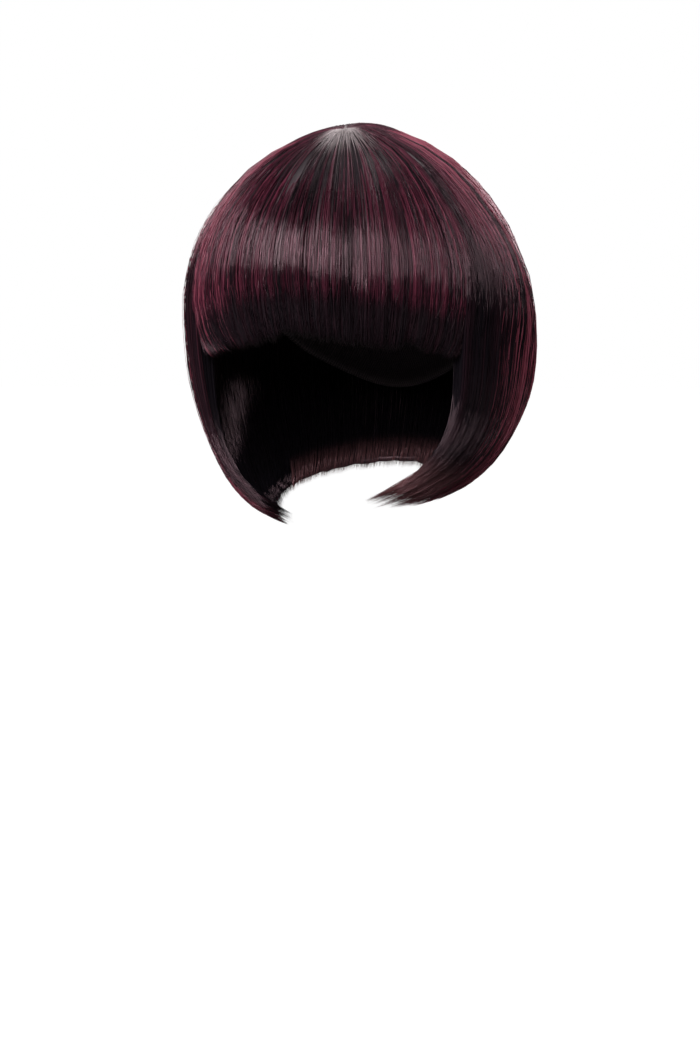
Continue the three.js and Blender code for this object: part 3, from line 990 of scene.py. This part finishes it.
def make_whorl(material):
    """Disc of pale roots in the whorl, their paleness partly a painted highlight, with strands that start
    in it and lie over the hair round it.

    A strand rises by a sine along its length and sinks into the hair by a cube. Its travel is the angle of
    its reach on a circle of the crown's radius, over 180 degrees.
    """
    rng = np.random.default_rng(WHORL_SEED)
    angle = 360 * np.arange(DISC_COLUMNS) / DISC_COLUMNS
    radius = np.linspace(0, WHORL_RADIUS - DISC_GAP, DISC_RINGS + 1)[1:, None]
    upper = whorl_surface(radius, angle)
    middle = whorl_surface(np.zeros(1), np.zeros(1))
    rings = np.concatenate([upper, down_to_cap(upper[::-1])])
    vertices, faces = ring_solid(middle[0], rings, down_to_cap(middle)[0])
    disc = vertices, faces, np.full((len(vertices), 2), DISC_TONE_TRAVEL)

    n = CROWN_STRANDS
    turn = even_shares(rng, n) * 360
    start = rng.random(n) ** 0.5 * WHORL_RADIUS
    end = np.maximum(start + CROWN_LEAST, CROWN_REACH * rng.uniform(*CROWN_REACHES, n))
    t = np.linspace(0, 1, CROWN_POINTS)
    reach = start[:, None] + (end - start)[:, None] * t
    sway = rng.normal(0, CROWN_SWAY, (n, 1)) * t
    point = whorl_surface(reach, turn[:, None] + sway)
    out = outward(point)
    lift = CROWN_LIFT * rng.uniform(*CROWN_LIFTS, (n, 1)) * np.sin(np.pi * t) - CROWN_SINK * t ** 3
    point = point + out * lift[..., None]
    thick = CROWN_STRAND_RADIUS * rng.uniform(*CROWN_RADII, (n, 1))
    thick = thick * np.clip((1 - t) / CROWN_TAPER, TIP_RADIUS, 1)
    tone = rng.uniform(*CROWN_TONES, n)
    # Inside this core the roots are fully pale, partly a painted highlight
    beyond = np.clip(reach - WHORL_RADIUS * ROOT_SHEEN_CORE, 0, None)
    travel = np.arcsin(beyond / CROWN_RADIUS) / np.pi + root_sheen_shift(turn)[:, None]
    parts = joined(disc, tubes(point, out, thick, tone, travel))
    piece = mesh_piece("crown_roots", *parts, STRAND_MAPS, material)
    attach(piece, "root")
    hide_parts("crown_whorl")


# Stretch net of the cap: two sets of slanting threads on a dark ground
CAP_COLUMNS = 160
CAP_ROWS = 40
NET_COLOUR = (0.022, 0.016, 0.018, 1.0)
THREAD_COLOUR = (0.080, 0.058, 0.064, 1.0)
THREADS_ACROSS = 150.0
THREADS_ALONG = 60.0
HALF_THREAD = 0.5
THREAD_EDGE = (0.04, 0.2)
NET_ROUGH = 0.9
THREAD_SMOOTH = 0.25
THREAD_BUMP = 0.5
THREAD_DEPTH = 0.0006
POLE_MAP = [[0.5, 0.0]]


def cap_surface(azimuth, level, inset):
    """Ellipsoid point (a sin v sin u, -b sin v cos u, c cos v - c), with v in step with a level.

    Level 0 is the top, and level 1 the cap's edge.
    """
    edge = read_table(CAP_EDGE, np.abs(wrapped(azimuth)))["height"]
    tilt = np.arccos(1 + edge / CAP_HALF[2]) * level
    flat = around(azimuth, np.sin(tilt), np.cos(tilt))
    return flat * (CAP_HALF - np.asarray(inset)[..., None]) - [0, 0, CAP_HALF[2]]


def cap_material():
    """Dark stretch net: two sets of slanting threads on the cap's own map, raised by a bump."""
    material, shader, start = new_material("cap net")
    place = start.node("ShaderNodeUVMap", {"uv_map": "net"})
    across = start.node("ShaderNodeSeparateXYZ", Vector=place) * THREADS_ACROSS
    along = start.node("ShaderNodeSeparateXYZ", output=1, Vector=place) * THREADS_ALONG
    one = start.math("PINGPONG", across + along, HALF_THREAD)
    two = start.math("PINGPONG", across - along, HALF_THREAD)
    thread = start.math("MINIMUM", one, two).ranged(THREAD_EDGE, 1.0, 0.0)
    colour = start.node("ShaderNodeMix", {"data_type": "RGBA"}, output=2, _0=thread,
                        _6=NET_COLOUR, _7=THREAD_COLOUR)
    bump = start.node("ShaderNodeBump", Height=thread, Strength=THREAD_BUMP, Distance=THREAD_DEPTH)
    feed(shader, "Base Color", colour)
    feed(shader, "Roughness", NET_ROUGH - thread * THREAD_SMOOTH)
    feed(shader, "Normal", bump)
    return material


def make_cap(material):
    """Cap wall: rings down its outside, round a thicker band at the edge, and up its inside."""
    angle = 360 * np.arange(CAP_COLUMNS) / CAP_COLUMNS
    level = np.linspace(0, 1, CAP_ROWS + 1)[1:, None]
    near_edge = (1 - level) * CAP_HALF[2] * np.pi / 2 / CAP_BAND_HEIGHT
    band = (CAP_BAND_WALL - CAP_WALL) * smoothstep(1 - near_edge, *CAP_BAND_SPAN)
    outside = cap_surface(angle, level, -CAP_WALL + 0 * level)
    inside = cap_surface(angle, level[::-1], band[::-1])
    rings = np.concatenate([outside, inside])
    vertices, faces = ring_solid(np.array([0, 0, CAP_WALL]), rings, np.zeros(3))
    sheet = np.stack(np.broadcast_arrays(np.abs(2 * (angle / 360) - 1), level), -1)
    uv = np.concatenate([POLE_MAP, sheet.reshape(-1, 2), sheet[::-1].reshape(-1, 2), POLE_MAP])
    piece = mesh_piece("net_cap", vertices, faces, uv, ("net",), material)
    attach(piece, "root")
    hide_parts("cap")


# Photograph's view: millimetres, degrees, and pixels of its 700 by 1050 frame
VIEW_AZIMUTH = 18.0
VIEW_ELEVATION = 3.0
VIEW_DISTANCE = 2000.0
VIEW_END = 50.0
PIXELS_PER_MM = 1.62
FRAME_SIZE = np.array([700.0, 1050.0])
CROWN_PIXEL = np.array([360.0, 125.0])
CROWN_POINT = np.array([0.0, 0.0, 14.0])
SENSOR = 36.0


def make_camera():
    """Camera that looks along the view so that the crown's point falls on its pixel."""
    a, e = np.radians([VIEW_AZIMUTH, VIEW_ELEVATION])
    back = np.array([np.sin(a) * np.cos(e), -np.cos(a) * np.cos(e), np.sin(e)])
    right = np.array([np.cos(a), np.sin(a), 0.0])
    up = np.cross(back, right)
    step = (FRAME_SIZE / 2 - CROWN_PIXEL) / PIXELS_PER_MM
    target = CROWN_POINT + right * step[0] - up * step[1]
    lens = bpy.data.cameras.new("photo view")
    lens.sensor_fit = "VERTICAL"
    lens.sensor_height = SENSOR
    lens.lens = PIXELS_PER_MM * VIEW_DISTANCE * SENSOR / FRAME_SIZE[1]
    lens.clip_end = VIEW_END
    camera = bpy.data.objects.new("photo view", lens)
    pose = np.eye(4)
    pose[:3, 0], pose[:3, 1], pose[:3, 2] = right, up, back
    pose[:3, 3] = (target + back * VIEW_DISTANCE) * MM
    camera.matrix_world = Matrix(pose.tolist())
    bpy.context.scene.collection.objects.link(camera)
    bpy.context.scene.camera = camera


# Studio: a floor in millimetres, and soft boxes round the middle of the hair in degrees, metres and watts
FLOOR_DROP = 240.0
FLOOR_HALF = 30000.0
FLOOR_COLOUR = (0.06, 0.06, 0.06, 1.0)
FLOOR_ROUGH = 0.9
FLOOR_GLOW = 1.0
SOFT_BOXES = columns("azimuth elevation distance width height power", [
    [-10, 26, 1.8, 1.9, 1.2, 77],
    [132, 28, 1.8, 0.8, 1.4, 45],
    [98, 33, 1.8, 0.6, 0.8, 3],
    [-98, 36, 1.8, 0.8, 1.3, 16],
    [161, 59, 1.8, 0.6, 0.6, 5],
])
SOFT_BOX_AIM = -0.1
AMBIENT = 0.10
WHITE = (1.0, 1.0, 1.0, 1.0)


def make_floor():
    """Pale floor below the tips: a square that looks white from above and cannot be seen from below."""
    level = float(cad_box[0][2]) / MM - FLOOR_DROP
    corner = np.array([[-1, -1], [1, -1], [1, 1], [-1, 1]]) * FLOOR_HALF
    mesh = bpy.data.meshes.new("floor")
    mesh.from_pydata([(x * MM, y * MM, level * MM) for x, y in corner], [], [(0, 1, 2, 3)])
    material, shader, start = new_material("pale floor")
    shader.inputs["Base Color"].default_value = FLOOR_COLOUR
    shader.inputs["Roughness"].default_value = FLOOR_ROUGH
    shader.inputs["Emission Strength"].default_value = FLOOR_GLOW
    feed(shader, "Emission Color", start.node("ShaderNodeLightPath"))
    feed(shader, "Alpha", 1.0 - start.node("ShaderNodeNewGeometry", output="Backfacing"))
    mesh.materials.append(material)
    floor = bpy.data.objects.new("floor", mesh)
    bpy.context.scene.collection.objects.link(floor)


def make_lights():
    """Soft boxes that face the middle of the hair, and a surround that looks white but lights dimly."""
    for azimuth, elevation, distance, width, height, power in zip(*SOFT_BOXES.values()):
        lamp = bpy.data.lights.new("soft box", "AREA")
        lamp.shape = "RECTANGLE"
        lamp.size = width
        lamp.size_y = height
        lamp.energy = power
        box = bpy.data.objects.new("soft box", lamp)
        tilt = np.radians(elevation)
        box.location = around(azimuth, distance * np.cos(tilt), distance * np.sin(tilt) + SOFT_BOX_AIM)
        box.rotation_euler = (np.pi / 2 - tilt, 0, np.radians(azimuth))
        box.visible_camera = False
        bpy.context.scene.collection.objects.link(box)

    world = bpy.data.worlds.new("white studio")
    world.use_nodes = True
    tree = world.node_tree
    sky = tree.nodes["Background"]
    seen = Socket(tree, None).node("ShaderNodeLightPath")
    feed(sky, "Strength", AMBIENT + seen * (1.0 - AMBIENT))
    sky.inputs["Color"].default_value = WHITE
    bpy.context.scene.world = world
    bpy.context.scene.view_settings.view_transform = "Standard"


make_camera()
make_floor()
make_lights()
hair = hair_material()
make_hair(hair)
make_whorl(hair)
make_cap(cap_material())
